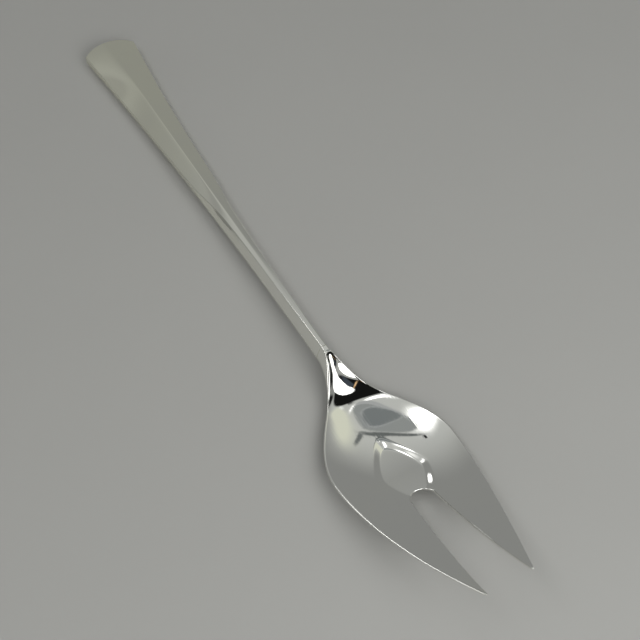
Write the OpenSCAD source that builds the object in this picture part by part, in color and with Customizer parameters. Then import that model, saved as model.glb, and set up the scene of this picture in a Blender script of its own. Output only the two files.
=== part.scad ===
// Two-tined serving fork with a hollow faceted handle.
// X runs from the handle's end to the tine tips, Y across, Z up.
// The fork lies as it does on a table: the bowl and the handle's end touch Z = 0.
// The origin is the middle of the fork's length, on the table.

/* [Length] */
// Handle's end to tine tips
overall_length = 232; // [215:1:255]
// Handle's end to the soldered joint at the neck
handle_length = 151; // [140:1:157]

/* [Handle] */
// Width across the flared end
handle_end_width = 18; // [14:0.2:22]
// Width at the neck, across the widest line of the section
neck_width = 4.2; // [3.8:0.1:5.2]
// Width at the neck, across the narrow top strip
neck_strip_width = 1.5; // [1.2:0.1:2]
// Height of the ridge above the back, at the end
end_depth = 5; // [4.4:0.1:6]
// Height of the ridge above the back, at the neck
neck_depth = 6.4; // [5.6:0.1:7.2]
// Height of the back above the table, at the neck
neck_lift = 2.3; // [1.6:0.1:4]
// Height of the seam above the back, at the end
seam_height = 1.6; // [1.3:0.1:2]
// Slope of the two top facets along most of the handle, rise over run
roof_slope = 0.34; // [0.2:0.01:0.4]
// How far the end bows out past its corners
end_bow = 2.8; // [1.5:0.1:3.5]
// Wall of the pressed shells
shell_wall = 0.7; // [0.5:0.05:0.8]
// Depth planed off the back to make it flat
back_flat = 0.12; // [0.06:0.01:0.2]

/* [Bowl] */
// Width across the bowl
bowl_width = 34; // [28:0.5:42]
// Tine tips back to the widest line of the bowl
bowl_from_tips = 45.5; // [41:0.5:50]
// Rise of the rim above the middle, at the widest line
bowl_depth = 2.3; // [1.5:0.1:4]
// Neck joint to the foot of the shoulder
shoulder_length = 19; // [16:0.5:22]
// Tine tips back to the lowest line of the bowl
sweep_length = 57; // [52:0.5:62]
// Rise of the tine tips above the bowl's floor
tip_rise = 17.4; // [10:0.1:22]
// Radius of the bowl's floor, along the fork, behind its lowest line
floor_radius = 140; // [100:5:200]
// Metal at the bowl's floor
bowl_metal = 1.5; // [1.3:0.1:2]
// Metal at the tine tips
tip_metal = 0.8; // [0.6:0.1:1.2]

/* [Tines] */
// Length of the slot between the tines
slot_length = 35; // [29:0.5:39]
// Width of the slot where its round end meets its sides
slot_root_width = 6.5; // [5:0.1:8]
// Width of the slot between the tips
slot_mouth_width = 11.5; // [9:0.1:14]
// Width of each tip
tip_width = 0.5; // [0.4:0.1:1]

/* [Lozenge] */
// Length of the sunk lozenge, before the slot cuts into it
lozenge_length = 21; // [18:0.5:25]
// Tine tips back to the lozenge's middle
lozenge_from_tips = 41; // [39:0.5:43]
// Width of the sunk lozenge
lozenge_width = 14; // [12:0.2:17]
// Depth of its floor below the bowl's middle line
lozenge_depth = 0.35; // [0.25:0.05:0.55]
// Run of its sloped wall, seen from above
lozenge_wall = 1.6; // [1:0.1:2.2]

/* [Tang and joints] */
// Length of the tang inside the handle
tang_length = 48; // [30:1:60]
// Width of the tang at the neck
tang_width = 1.2; // [1:0.1:1.3]
// Depth of the tang at the neck
tang_depth = 2.4; // [1.6:0.1:2.8]
// Thickness of the solder between the two shells
seam_solder_thickness = 0.2; // [0.1:0.05:0.3]
// Thickness of the solder between the handle and the head
neck_solder_thickness = 0.3; // [0.2:0.05:0.5]
// Clearance round the cement filler
cement_gap = 0.1; // [0.05:0.01:0.15]

/* [Hidden] */

// Exponents of the outline curves
girth_power = 1.95;
ridge_power = 2.2;
end_power = 3.2;
shoulder_power = 0.93;
tine_power = 1.6;
sweep_power = 1.9;
// Exponents of the bowl's cross-section and of the handle's back, boxy at the end and round at the neck
bowl_power = 2.2;
end_back_power = 3.4;
neck_back_power = 2.1;
// Spreads the steps of the back towards its corners
step_power = 0.6;
// Exponent of the lozenge: 1 is a straight-sided diamond, 2 an ellipse
lozenge_power = 1.45;
// Share of the roof's slope left at the end, and the share of the length over which it grows
end_roof = 0.45;
roof_full = 0.3;
// Where the side facets open along the handle, as shares of its length
facet_start = 0.48;
facet_full = 0.65;
// Height of the seam at the neck, as a share of the neck's depth
seam_share = 0.4;
// How fast the shoulder falls away below the neck, and the exponent that dishes it there
fall_power = 3.8;
dish_power = 0.55;
// Where the shoulder's slope starts and where the neck's roof and its depth have blended away, past the joint
shoulder_start = 1.5;
roof_length = 7;
blend_length = shoulder_length - 1;

// Counts of steps in the lofts
handle_rows = 36;
back_steps = 8;
end_steps = 12;
trunk_rows = 34;
tine_rows = 20;
round_rows = 6;
half_columns = 8;
lozenge_points = 64;

// Overlap that a cutter has past the face it opens
cut = 1;

end_half = handle_end_width / 2;
neck_half = neck_width / 2;
strip_half = neck_strip_width / 2;
bowl_half = bowl_width / 2;
tip_half = slot_mouth_width / 2 + tip_width;
joint_s = handle_length;
head_s = handle_length + neck_solder_thickness;
wide_s = overall_length - bowl_from_tips;
low_s = overall_length - sweep_length;
slot_s = overall_length - slot_length;
lozenge_s = overall_length - lozenge_from_tips;
neck_top = neck_lift + neck_depth;
solder_half = seam_solder_thickness / 2;
shift = -overall_length / 2;

function mix(a, b, t) = a + (b - a) * t;
// Eases from 0 to 1 along a half cosine as s goes from a to b
function ease(s, a, b) = s <= a ? 0 : s >= b ? 1 : (1 - cos(180 * (s - a) / (b - a))) / 2;
// Share of the handle still to come before the joint
function left(s) = 1 - s / joint_s;

// Handle: half-widths and heights at the distance s from its end
function girth(s) = mix(neck_half, end_half, pow(left(s), girth_power));
function strip(s) =
    girth(s) - (neck_half - strip_half) * ease(s, facet_start * joint_s, facet_full * joint_s);
function back_z(s) = neck_lift * s / joint_s;
function ridge_z(s) = mix(end_depth, neck_top, pow(s / joint_s, ridge_power));
function roof(s) = roof_slope * mix(end_roof, 1, ease(s, 0, roof_full * joint_s));
function strip_z(s) = ridge_z(s) - roof(s) * strip(s);
function seam_z(s) = mix(seam_height, neck_lift + neck_depth * seam_share, s / joint_s);

// Handle sections, across Y, as [y, z]: the front over the top to the right, the back below to the left
function front_section(s) = [
    [-girth(s), seam_z(s) + solder_half],
    [-strip(s), strip_z(s)],
    [0, ridge_z(s)],
    [strip(s), strip_z(s)],
    [girth(s), seam_z(s) + solder_half]
];
function back_power(s) = mix(end_back_power, neck_back_power, s / joint_s);
function boxy(u, power) = pow(max(0, 1 - pow(abs(u), power)), 1 / power);
function back_section(s, half, top, bottom) = [
    for (i = [0:2 * back_steps])
        let (a = 90 * (1 - i / back_steps), u = sign(a) * pow(abs(sin(a)), step_power))
            [half * u, top - (top - bottom) * boxy(u, back_power(s))]
];
function ring(s, section) = [for (p = section) [s + shift, p[0], p[1]]];

// Closed skin through a row of rings of equal length, with flat ends
module loft(rings) {
    n = len(rings[0]);
    last = len(rings) - 1;
    polyhedron(
        points = [for (r = rings) each r],
        faces = concat(
            [for (i = [0:last - 1], j = [0:n - 1]) [i * n + j, i * n + (j + 1) % n, (i + 1) * n + j]],
            [for (i = [0:last - 1], j = [0:n - 1])
                [i * n + (j + 1) % n, (i + 1) * n + (j + 1) % n, (i + 1) * n + j]],
            [[for (j = [0:n - 1]) (n - j) % n]],
            [[for (j = [0:n - 1]) last * n + j]]
        )
    );
}

function handle_s(a, b) = [for (i = [0:handle_rows]) mix(a, b, i / handle_rows)];

// Trims the flared end to its bow with rounded corners
module end_trim() {
    bow = [for (i = [-end_steps:end_steps])
        let (u = sign(i) * pow(abs(i) / end_steps, step_power))
            [end_bow * pow(abs(u), end_power), end_half * u]];
    translate([shift, 0, -cut])
        linear_extrude(height = end_depth + 3 * cut)
            polygon(concat(bow, [[end_bow, end_half + cut], [-cut, end_half + cut],
                [-cut, -end_half - cut], [end_bow, -end_half - cut]]));
}

// Space inside the handle, drawn in from the outside by the given wall
function inner(s, wall) = (girth(s) - wall) / girth(s);
function front_space(s, wall) = [
    [0, ridge_z(s) - wall],
    [strip(s) * inner(s, wall), strip_z(s) - wall],
    [girth(s) * inner(s, wall), seam_z(s)],
    [girth(s) * inner(s, wall), seam_z(s) - cut],
    [-girth(s) * inner(s, wall), seam_z(s) - cut],
    [-girth(s) * inner(s, wall), seam_z(s)],
    [-strip(s) * inner(s, wall), strip_z(s) - wall]
];
function back_space(s, wall) = concat(
    back_section(s, girth(s) * inner(s, wall), seam_z(s), back_z(s) + wall),
    [[-girth(s) * inner(s, wall), seam_z(s) + cut], [girth(s) * inner(s, wall), seam_z(s) + cut]]
);
function filler_section(s, wall) = concat(
    back_section(s, girth(s) * inner(s, wall), seam_z(s), back_z(s) + wall),
    [
        [-strip(s) * inner(s, wall), strip_z(s) - wall],
        [0, ridge_z(s) - wall],
        [strip(s) * inner(s, wall), strip_z(s) - wall]
    ]
);

module handle_front_shell() {
    color("silver")
        difference() {
            loft([for (s = handle_s(0, joint_s)) ring(s, front_section(s))]);
            loft([for (s = handle_s(end_bow + shell_wall, joint_s + cut))
                ring(s, front_space(min(s, joint_s), shell_wall))]);
            end_trim();
        }
}
module handle_back_shell() {
    color("gainsboro")
        difference() {
            loft([for (s = handle_s(0, joint_s))
                ring(s, back_section(s, girth(s), seam_z(s) - solder_half, back_z(s) - back_flat))]);
            loft([for (s = handle_s(end_bow + shell_wall, joint_s + cut))
                ring(s, back_space(min(s, joint_s), shell_wall))]);
            end_trim();
            translate([shift, 0, 0])
                rotate([0, -atan(neck_lift / joint_s), 0])
                    translate([-cut, -end_half - cut, -2 * cut])
                        cube([joint_s + 3 * cut, handle_end_width + 2 * cut, 2 * cut]);
        }
}

// Head: half-widths and heights at the distance s from the handle's end
function rim_half(s) = s <= wide_s
    ? mix(strip_half, bowl_half, pow(sin(90 * pow((s - head_s) / (wide_s - head_s), shoulder_power)), 2))
    : mix(bowl_half, tip_half, pow((s - wide_s) / bowl_from_tips, tine_power));
function neck_share(s) = 1 - ease(s, head_s, head_s + blend_length);
function edge_half(s) = rim_half(s) + (neck_half - strip_half) * neck_share(s);
function sweep_z(s) = bowl_metal + tip_rise * pow(max(0, s - low_s) / sweep_length, sweep_power)
    + pow(max(0, low_s - s), 2) / (2 * floor_radius);
// Share of the neck's height left on the shoulder: level at first, then steep, then a long foot
function fall(t) = pow(1 - t, fall_power) * (1 + fall_power * t);
function middle_z(s) = mix(sweep_z(s), neck_top,
    fall(min(1, max(0, s - head_s - shoulder_start) / (shoulder_length - shoulder_start))));
function metal(s) = mix(bowl_metal, tip_metal, max(0, s - wide_s) / bowl_from_tips);
// Rise of the rim above the middle line, negative on the roof of the neck
function roof_share(s) = 1 - ease(s, head_s, head_s + roof_length);
function dish(s) = mix(dish_power, 1, ease(s, head_s + shoulder_length / 4, head_s + shoulder_length - 2));
function rim_lift(s) =
    mix(bowl_depth * pow(rim_half(s) / bowl_half, dish(s)), -roof_slope * strip_half, roof_share(s));
function cross_power(s) = mix(bowl_power, 1, roof_share(s));
// Heights across the head, at the share u of its half-width
function upper_z(s, u) = middle_z(s) + rim_lift(s) * pow(abs(u), cross_power(s));
function neck_back_z(u) = mix(seam_z(joint_s), back_z(joint_s), boxy(u, neck_back_power));
function lower_z(s, u) = mix(upper_z(s, u) - metal(s), neck_back_z(u), neck_share(s));

// Half-width of the slot: a round end, then straight sides that open towards the tips
slot_round = slot_root_width / 2;
function slot_half(s) = s <= slot_s ? 0
    : s < slot_s + slot_round ? sqrt(pow(slot_round, 2) - pow(slot_s + slot_round - s, 2))
    : mix(slot_round, slot_mouth_width / 2, (s - slot_s - slot_round) / (slot_length - slot_round));

// Distances of the head's rows: even along the trunk, by angle round the slot's end, even along the tines
head_rows = concat(
    [for (i = [0:trunk_rows]) mix(head_s, slot_s, i / trunk_rows)],
    [for (i = [1:round_rows]) slot_s + slot_round * (1 - cos(90 * i / round_rows))],
    [for (i = [round_rows + 1:tine_rows])
        mix(slot_s + slot_round, overall_length, (i - round_rows) / (tine_rows - round_rows))]
);
function column(j) = sin(90 * j / half_columns);
function head_points(side) = [
    for (s = head_rows, under = [0, 1], j = [0:half_columns])
        let (half = under == 0 ? rim_half(s) : edge_half(s), y = mix(slot_half(s), half, column(j)))
            [s + shift, side * y, under == 0 ? upper_z(s, y / half) : lower_z(s, y / half)]
];

// Bowl, shoulder and both tines as one closed skin. Each row has a right and a left half,
// and ahead of the slot the two halves share the points of the middle line.
module head_skin() {
    last = len(head_rows) - 1;
    layer = half_columns + 1;
    half_count = (last + 1) * 2 * layer;
    function at(left, under, i, j) =
        (left == 1 && !(j == 0 && i <= trunk_rows) ? half_count : 0) + (2 * i + under) * layer + j;
    function turned(face, left) = left == 0 ? face : [for (k = [len(face) - 1:-1:0]) face[k]];
    function quad(a, b, c, d, left) = [turned([a, b, c], left), turned([a, c, d], left)];
    skins = [for (left = [0, 1], under = [0, 1], i = [0:last - 1], j = [0:half_columns - 1])
        each quad(at(left, under, i, j), at(left, under, i, j + 1), at(left, under, i + 1, j + 1),
            at(left, under, i + 1, j), (left + under) % 2)];
    rims = [for (left = [0, 1], i = [0:last - 1])
        each quad(at(left, 0, i + 1, half_columns), at(left, 0, i, half_columns),
            at(left, 1, i, half_columns), at(left, 1, i + 1, half_columns), left)];
    slot_walls = [for (left = [0, 1], i = [trunk_rows:last - 1])
        each quad(at(left, 0, i, 0), at(left, 0, i + 1, 0), at(left, 1, i + 1, 0), at(left, 1, i, 0), left)];
    tips = [for (left = [0, 1]) turned(concat(
        [for (j = [0:half_columns]) at(left, 0, last, j)],
        [for (j = [half_columns:-1:0]) at(left, 1, last, j)]), left)];
    neck_face = concat(
        [for (j = [half_columns:-1:0]) at(0, 0, 0, j)], [for (j = [1:half_columns]) at(1, 0, 0, j)],
        [for (j = [half_columns:-1:1]) at(1, 1, 0, j)], [for (j = [0:half_columns]) at(0, 1, 0, j)]);
    polyhedron(points = concat(head_points(1), head_points(-1)),
        faces = concat(skins, rims, slot_walls, tips, [neck_face]));
}

// Tool shape that strikes the lozenge into the bowl: a bowed diamond with sloped sides
lozenge_wall_height = 2 * lozenge_depth;
module lozenge_tool() {
    long = lozenge_length / 2;
    wide = lozenge_width / 2;
    height = 2 * lozenge_wall_height;
    share = (lozenge_s - low_s) / sweep_length;
    slope = sweep_power * tip_rise / sweep_length * pow(share, sweep_power - 1);
    translate([lozenge_s + shift, 0, sweep_z(lozenge_s) - lozenge_depth])
        rotate([0, -atan(slope), 0])
            linear_extrude(height = height, scale = [
                (long + lozenge_wall) / (long - lozenge_wall),
                (wide + lozenge_wall) / (wide - lozenge_wall)
            ])
                polygon([for (i = [0:lozenge_points - 1])
                    let (a = 360 * i / lozenge_points, e = 2 / lozenge_power)
                        [
                            (long - lozenge_wall) * sign(cos(a)) * pow(abs(cos(a)), e),
                            (wide - lozenge_wall) * sign(sin(a)) * pow(abs(sin(a)), e)
                        ]]);
}

// Tapered tang on the line of the seam, grown by a clearance where it makes room for itself
tang_taper = 0.6;
module tang(front_s, clearance) {
    back_s = joint_s - tang_length - clearance;
    function bar(s, share) =
        let (w = tang_width * share / 2 + clearance, h = tang_depth * share / 2 + clearance)
            ring(s, [[w, seam_z(s) - h], [-w, seam_z(s) - h], [-w, seam_z(s) + h], [w, seam_z(s) + h]]);
    loft([bar(back_s, tang_taper), bar(joint_s, 1), bar(front_s, 1)]);
}

module fork_head() {
    color("whitesmoke")
        union() {
            difference() {
                head_skin();
                lozenge_tool();
            }
            tang(head_s + cut, 0);
        }
}
module handle_filler() {
    wall = shell_wall + cement_gap;
    color("tan")
        difference() {
            loft([for (s = handle_s(end_bow + wall, joint_s - cement_gap)) ring(s, filler_section(s, wall))]);
            tang(joint_s + cut, cement_gap);
        }
}
// Solder between the shells: a strip that runs up one side, round the end and down the other
module seam_solder() {
    start = end_bow + shell_wall;
    sides = handle_s(0, joint_s);
    function strip_ring(s, side) = let (in_s = max(s, start), in_y = side * (girth(in_s) - shell_wall)) [
        [s + shift, side * girth(s), seam_z(s) - solder_half],
        [in_s + shift, in_y, seam_z(in_s) - solder_half],
        [in_s + shift, in_y, seam_z(in_s) + solder_half],
        [s + shift, side * girth(s), seam_z(s) + solder_half]
    ];
    color("lightgray")
        difference() {
            loft(concat(
                [for (i = [handle_rows:-1:0]) if (i == 0 || sides[i] > start) strip_ring(sides[i], -1)],
                [for (i = [0:handle_rows]) if (i == 0 || sides[i] > start) strip_ring(sides[i], 1)]
            ));
            end_trim();
        }
}
// Solder between the handle and the head: a thin plate of the neck's section with the tang through it
module neck_solder() {
    section = concat(
        back_section(joint_s, neck_half, seam_z(joint_s), back_z(joint_s)),
        [[-strip_half, strip_z(joint_s)], [0, ridge_z(joint_s)], [strip_half, strip_z(joint_s)]]
    );
    color("darkgray")
        difference() {
            loft([ring(joint_s, section), ring(head_s, section)]);
            tang(head_s + cut, cement_gap);
        }
}

fork_head();
handle_front_shell();
handle_back_shell();
handle_filler();
seam_solder();
neck_solder();
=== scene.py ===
"""Polished skins of a two-tined serving fork, laid over its packed solids, and a plain studio stage."""

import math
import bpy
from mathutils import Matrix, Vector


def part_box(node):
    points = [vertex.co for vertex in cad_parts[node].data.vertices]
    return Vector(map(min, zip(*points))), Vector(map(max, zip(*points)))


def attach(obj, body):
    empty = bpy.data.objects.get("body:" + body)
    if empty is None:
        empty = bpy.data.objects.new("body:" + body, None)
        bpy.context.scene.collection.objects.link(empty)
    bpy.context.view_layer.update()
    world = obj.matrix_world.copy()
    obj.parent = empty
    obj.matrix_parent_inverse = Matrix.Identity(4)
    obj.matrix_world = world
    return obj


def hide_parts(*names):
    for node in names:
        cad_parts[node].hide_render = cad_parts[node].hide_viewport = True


bl_info = {
    "name": "Two-tined serving fork",
    "version": (1, 0, 0),
    "blender": (4, 5, 0),
    "location": "3D View > Sidebar > Fork",
    "description": "Builds the polished pieces of a two-tined serving fork and a plain stage for it",
    "category": "Object",
}

from types import SimpleNamespace

import bmesh
import bpy
import numpy as np
from bpy.props import FloatProperty, FloatVectorProperty, PointerProperty
from mathutils import Matrix, Vector

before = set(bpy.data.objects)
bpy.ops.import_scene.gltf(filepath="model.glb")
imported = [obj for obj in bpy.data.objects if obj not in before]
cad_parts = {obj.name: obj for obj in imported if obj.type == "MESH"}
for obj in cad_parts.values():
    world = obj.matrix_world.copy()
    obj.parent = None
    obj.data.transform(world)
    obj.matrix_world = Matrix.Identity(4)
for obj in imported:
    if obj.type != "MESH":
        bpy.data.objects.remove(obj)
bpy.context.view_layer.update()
HANDLE_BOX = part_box("handle_back_shell")
HEAD_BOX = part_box("fork_head")
JOINT_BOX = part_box("neck_solder")

MM = 0.001
WELD = 1e-7


# Properties

def size(name, description, mm):
    """A length that a user may change, given in millimetres and kept in metres."""
    return FloatProperty(
        name=name, description=description, default=mm * MM, min=0.0, precision=5, unit="LENGTH"
    )


def gap(low, high):
    """Distance along X between two corners of the frame, in millimetres."""
    return (high.x - low.x) / MM


def number(name, description, value):
    """A plain number that a user may change."""
    return FloatProperty(name=name, description=description, default=value, min=0.0)


def paint(name, description, value):
    """A linear colour that a user may change."""
    return FloatVectorProperty(
        name=name, description=description, default=value, size=3, min=0.0, max=1.0, subtype="COLOR"
    )


class ForkHandleSizes(bpy.types.PropertyGroup):
    """Sizes of the hollow handle."""

    length: size("Length", "From the end to the soldered joint", gap(*HANDLE_BOX))
    end_width: size("End width", "Across the flared end", 18)
    neck_width: size("Neck width", "Across the widest line of the neck", 4.2)
    strip_width: size("Strip width", "Across the narrow top strip at the neck", 1.5)
    end_depth: size("End depth", "Ridge above the back, at the end", 5)
    neck_depth: size("Neck depth", "Ridge above the back, at the neck", 6.4)
    neck_lift: size("Neck lift", "Back above the table, at the neck", 2.3)
    seam_height: size("Seam height", "Seam above the back, at the end", 1.6)
    end_bow: size("End bow", "How far the end bows out past its corners", 2.8)
    wall: size("Wall", "Wall of the pressed shells", 0.7)
    back_flat: size("Back flat", "Depth planed off the back", 0.12)
    seam_solder: size("Seam solder", "Thickness of the solder between the shells", 0.2)
    edge_round: size("Edge rounding", "Rounding of the polished edges", 0.14)
    ridge_round: size("Ridge rounding", "Half-width of the rounded ridge along the handle", 0.3)
    end_round: size("Crown rounding", "Half-width of the soft crown at the end", 3.2)
    roof_slope: number("Roof slope", "Rise over run of the two top facets", 0.34)


class ForkHeadSizes(bpy.types.PropertyGroup):
    """Sizes of the bowl and tines."""

    overall: size("Overall length", "Handle's end to the tine tips", gap(HANDLE_BOX[0], HEAD_BOX[1]))
    neck_solder: size("Neck solder", "Thickness of the solder at the neck", gap(*JOINT_BOX))
    bowl_width: size("Bowl width", "Across the bowl", 34)
    bowl_from_tips: size("Bowl from tips", "Tine tips back to the widest line", 45.5)
    bowl_depth: size("Bowl depth", "Rise of the rim at the widest line", 2.3)
    shoulder: size("Shoulder", "Neck joint to the foot of the shoulder", 19)
    sweep: size("Sweep", "Tine tips back to the lowest line", 57)
    tip_rise: size("Tip rise", "Rise of the tine tips above the bowl's floor", 17.4)
    floor_radius: size("Floor radius", "Of the bowl's floor behind its lowest line", 140)
    bowl_metal: size("Bowl metal", "Metal at the bowl's floor", 1.5)
    tip_metal: size("Tip metal", "Metal at the tine tips", 0.8)
    slot: size("Slot", "Length of the slot between the tines", 35)
    slot_root: size("Slot root", "Width of the slot at its round end", 6.5)
    slot_mouth: size("Slot mouth", "Width of the slot between the tips", 11.5)
    tip_width: size("Tip width", "Width of each tip", 0.5)
    lozenge: size("Lozenge", "Length of the sunk lozenge", 21)
    lozenge_from_tips: size("Lozenge from tips", "Tine tips back to its middle", 41)
    lozenge_width: size("Lozenge width", "Width of the sunk lozenge", 14)
    lozenge_depth: size("Lozenge depth", "Depth of its floor below the bowl", 0.35)
    lozenge_wall: size("Lozenge wall", "Run of its sloped wall", 1.6)
    lip_round: size("Lip rounding", "Rounding of the lozenge's lip and foot", 0.08)
    rim_round: size("Rim rounding", "Rounding of the bowl's rim", 0.55)
    slot_round: size("Slot rounding", "Rounding of the slot's edges", 0.22)
    tip_round: size("Tip rounding", "Length of the rounded tips", 0.5)
    tang: size("Tang", "Length of the tang inside the handle", 48)
    tang_width: size("Tang width", "Width of the tang at the neck", 1.2)
    tang_depth: size("Tang depth", "Depth of the tang at the neck", 2.4)


class ForkFinishes(bpy.types.PropertyGroup):
    """Colours of the finishes."""

    silver: paint("Silver", "Polished metal of the head", (0.86, 0.86, 0.828))
    warm_silver: paint("Warm silver", "Polished metal towards the handle's end", (0.985, 0.98, 0.825))
    solder: paint("Solder", "Polished hard solder in the seams", (0.88, 0.875, 0.82))
    solder_dark: paint("Solder stain", "Darker flecks in the solder", (0.68, 0.66, 0.60))
    cement: paint("Cement", "Filling inside the handle", (0.46, 0.38, 0.28))
    cement_grit: paint("Cement grit", "Darker grit in the filling", (0.24, 0.19, 0.14))


class ForkStage(bpy.types.PropertyGroup):
    """Floor, light and camera."""

    floor: paint("Floor", "Pale floor", (0.335, 0.335, 0.319))
    floor_size: size("Floor size", "Side of the square floor", 6000)
    lens: number("Lens", "Focal length of the camera on a 36 mm sensor, in mm", 59.74)
    wall_light: number("Wall light", "Strength of the studio's grey walls, near the floor", 0.258)
    high_light: number("High light", "Strength of the same walls, high up", 0.52)
    panel_light: number("Panel light", "Scale of the white panels' strengths", 1.0)
    lamp_power: number("Front lamp", "Power of the soft lamp in front, in watts", 2.0)
    camera_place: FloatVectorProperty(
        name="Camera place", description="Where the camera stands", size=3, subtype="TRANSLATION",
        default=(0.17965, -0.08197, 0.2314), precision=5, unit="LENGTH",
    )


SETTINGS = {
    "fork_handle": ForkHandleSizes,
    "fork_head": ForkHeadSizes,
    "fork_finishes": ForkFinishes,
    "fork_stage": ForkStage,
}


# Curves that the shapes share

TINY, NEAR_HALF, QUARTER = 1e-9, 0.45, 0.5 * np.pi


def shares(count):
    """Even steps from 0 to 1."""
    return np.linspace(0.0, 1.0, count)


def mix(a, b, t):
    """Straight line from a to b as t goes from 0 to 1."""
    return a + (b - a) * t


def passed(x, a, b):
    """How far x has come on the way from a to b, held between 0 and 1."""
    return np.clip((x - a) / (b - a), 0.0, 1.0)


def ease(x, a, b):
    """0 before a, 1 after b, and between them a step of the fifth degree, level at both ends."""
    t = passed(x, a, b)
    return t * t * t * (t * (6.0 * t - 15.0) + 10.0)


def rising(x, width):
    """max(0, x) with its corner rounded: half of x plus the root of x squared plus width squared."""
    return 0.5 * (x + np.sqrt(x * x + width * width))


def crown(v, soft):
    """A roof from 0 at its ridge to 1 at its eaves, |v| with its ridge rounded over the share soft."""
    return (np.sqrt(v * v + soft * soft) - soft) / (np.sqrt(1.0 + soft * soft) - soft)


def boxy(u, power):
    """Height of a unit superellipse at u: the power-th root of 1 less |u| to that power."""
    return np.maximum(0.0, 1.0 - np.abs(u) ** power) ** (1.0 / power)


def bend(start, corner, end, count):
    """Quadratic curve from start to end that bends round corner, its points first in the array."""
    t = shares(count).reshape((-1,) + (1,) * start.ndim)
    return (1 - t) ** 2 * start + 2 * t * (1 - t) * corner + t * t * end


def straight(start, end, count):
    """Even steps from start to end, with start left out."""
    t = shares(count + 1)[1:].reshape((-1,) + (1,) * start.ndim)
    return mix(start, end, t)


def towards(start, end, distance):
    """The point at a distance from start on the way to end, but never quite half of the way."""
    way = end - start
    far = np.linalg.norm(way, axis=-1, keepdims=True)
    return start + way * np.minimum(distance / np.maximum(far, TINY), NEAR_HALF)


def measures(scene):
    """The sidebar's sizes, and stations along s, the distance from the handle's end in metres."""
    m = SimpleNamespace(start=HANDLE_BOX[0].x)
    for name in ("fork_handle", "fork_head"):
        for key in SETTINGS[name].__annotations__:
            setattr(m, key, getattr(getattr(scene, name), key))
    m.end_half, m.neck_half, m.strip_half = m.end_width / 2, m.neck_width / 2, m.strip_width / 2
    m.joint, m.head_s = m.length, m.length + m.neck_solder
    m.wide, m.low = m.overall - m.bowl_from_tips, m.overall - m.sweep
    m.slot_s, m.lozenge_s = m.overall - m.slot, m.overall - m.lozenge_from_tips
    m.bowl_half, m.tip_half = m.bowl_width / 2, m.slot_mouth / 2 + m.tip_width
    m.neck_top = m.neck_lift + m.neck_depth
    m.solder_half = m.seam_solder / 2
    return m


# Handle

GIRTH_POWER, RIDGE_POWER, END_POWER = 1.95, 2.2, 3.2
BACK_POWER_END, BACK_POWER_NECK = 3.4, 2.1
BACK_SOFT = 0.03 * MM
# Shares of the slope and of the length: the roof grows from its end, then eases off towards the neck
ROOF_AT_END, ROOF_FULL = 0.45, 0.3
ROOF_AT_NECK, ROOF_EASES, ROOF_EASED = 0.05, 0.40, 0.92
CROWN_FADES = 0.24
FACET_START, FACET_FULL, FACET_SWELL = 0.48, 0.65, 0.12 * MM
SEAM_SHARE = 0.4
EDGE_SHARE, NECK_SOFTER, NECK_EASES = 0.4, 2.4, 0.84
BOW_FADE, BOW_PASSES = 24 * MM, 4
HANDLE_ROWS, ROWS_CROWD, ROOF_COLUMNS, BACK_COLUMNS = 190, 0.75, 30, 64
BEND_STEPS, WALL_STEPS, RIM_STEPS = 7, 5, 3
# Corners of the solder's sections, the seam's by depth and height, the neck's by scale and station
SEAM_DEPTHS = np.array([0.012, 0.03, 0.012, 0.6, 0.6, 0.012]) * MM
SEAM_HEIGHTS = np.array([-1.0, 0.0, 1.0, 1.0, -1.0, -1.0])
RING_SCALES = np.array([0.45, 0.9995, 0.997, 0.9995, 0.45, 0.45])
RING_STATIONS = np.array([0.0, 0.0, 0.5, 1.0, 1.0, 0.0])
MIRRORED = np.array([1.0, -1.0, 1.0])


def girth(m, s):
    """Half-width at the seam, from the end's to the neck's by a power of what is left of the length."""
    return mix(m.neck_half, m.end_half, np.maximum(0.0, 1.0 - s / m.joint) ** GIRTH_POWER)


def opened(m, s):
    """How far the side facets have opened, from 0 to 1."""
    return ease(s, FACET_START * m.joint, FACET_FULL * m.joint)


def strip(m, s):
    """Half-width of the top, which draws in from the girth where the side facets open."""
    return girth(m, s) - (m.neck_half - m.strip_half) * opened(m, s)


def back_z(m, s):
    """Height of the flat back, a straight line that lifts from the table towards the neck."""
    return m.neck_lift * s / m.joint


def ridge_z(m, s):
    """Height of the ridge, by a power of the share of the length."""
    return mix(m.end_depth, m.neck_top, (np.maximum(s, 0.0) / m.joint) ** RIDGE_POWER)


def roof(m, s):
    """Slope of the top facets, which grows over the first part and eases off along the strip."""
    grown = mix(ROOF_AT_END, 1.0, ease(s, 0.0, ROOF_FULL * m.joint))
    eased = mix(1.0, ROOF_AT_NECK, ease(s, ROOF_EASES * m.joint, ROOF_EASED * m.joint))
    return m.roof_slope * grown * eased


def seam_z(m, s):
    """Height of the seam between the shells, a straight line."""
    return mix(m.seam_height, m.neck_lift + m.neck_depth * SEAM_SHARE, s / m.joint)


def ridge_soft(m, s):
    """Rounding of the ridge as a share of the half-width, wide at the end and narrow along the rest."""
    at_end = 1.0 - ease(s, 0.0, CROWN_FADES * m.joint)
    return mix(m.ridge_round, m.end_round, at_end) / strip(m, s)


def roof_z(m, s, y):
    """Height of the roof: the ridge less its slope times the half-width times the rounded crown."""
    half = strip(m, s)
    return ridge_z(m, s) - roof(m, s) * half * crown(y / half, ridge_soft(m, s))


def handle_stations(m):
    """Rows along the handle, close together at its end."""
    t = shares(HANDLE_ROWS)
    return m.joint * mix(t, t * t, ROWS_CROWD)[:, None]


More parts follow.
